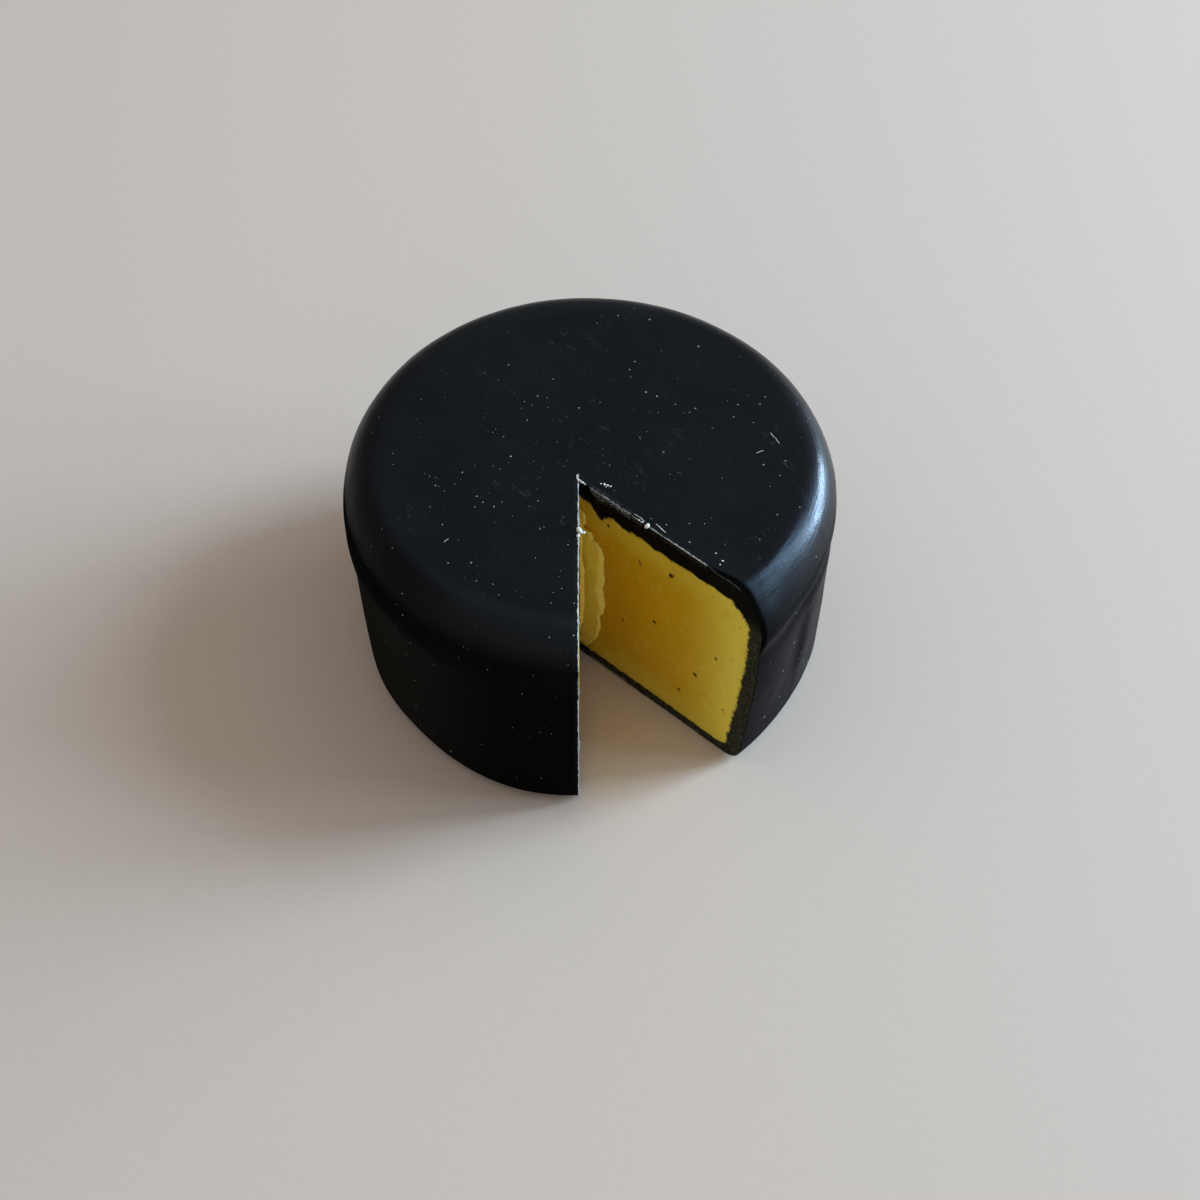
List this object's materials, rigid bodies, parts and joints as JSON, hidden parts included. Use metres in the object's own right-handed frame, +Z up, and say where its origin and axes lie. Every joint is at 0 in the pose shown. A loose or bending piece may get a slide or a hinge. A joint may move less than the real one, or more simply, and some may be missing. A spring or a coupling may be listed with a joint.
{
  "type": "waxed cheddar truckle",
  "caption": "Small round cave-aged cheddar in a coat of black wax, with a wedge cut out down to its base so that the yellow cheese shows on the cut faces.",
  "frame": {"origin": "middle of the base, straight below the middle of the uncut round", "axes": "+Z up through the round's axis; the notch's left cut face runs from near the middle towards -Y, and its right cut face runs out between -Y and +X"},
  "size_m": [0.0995, 0.1003, 0.0517],
  "materials": {
    "black_wax": "satin black cheese wax, with fine pale scuffs",
    "cheddar": "firm deep yellow cheese, cut and partly broken"
  },
  "bodies": {
    "root": {"wax_coat": "black_wax", "cheese_paste": "cheddar"}
  },
  "joints": []
}
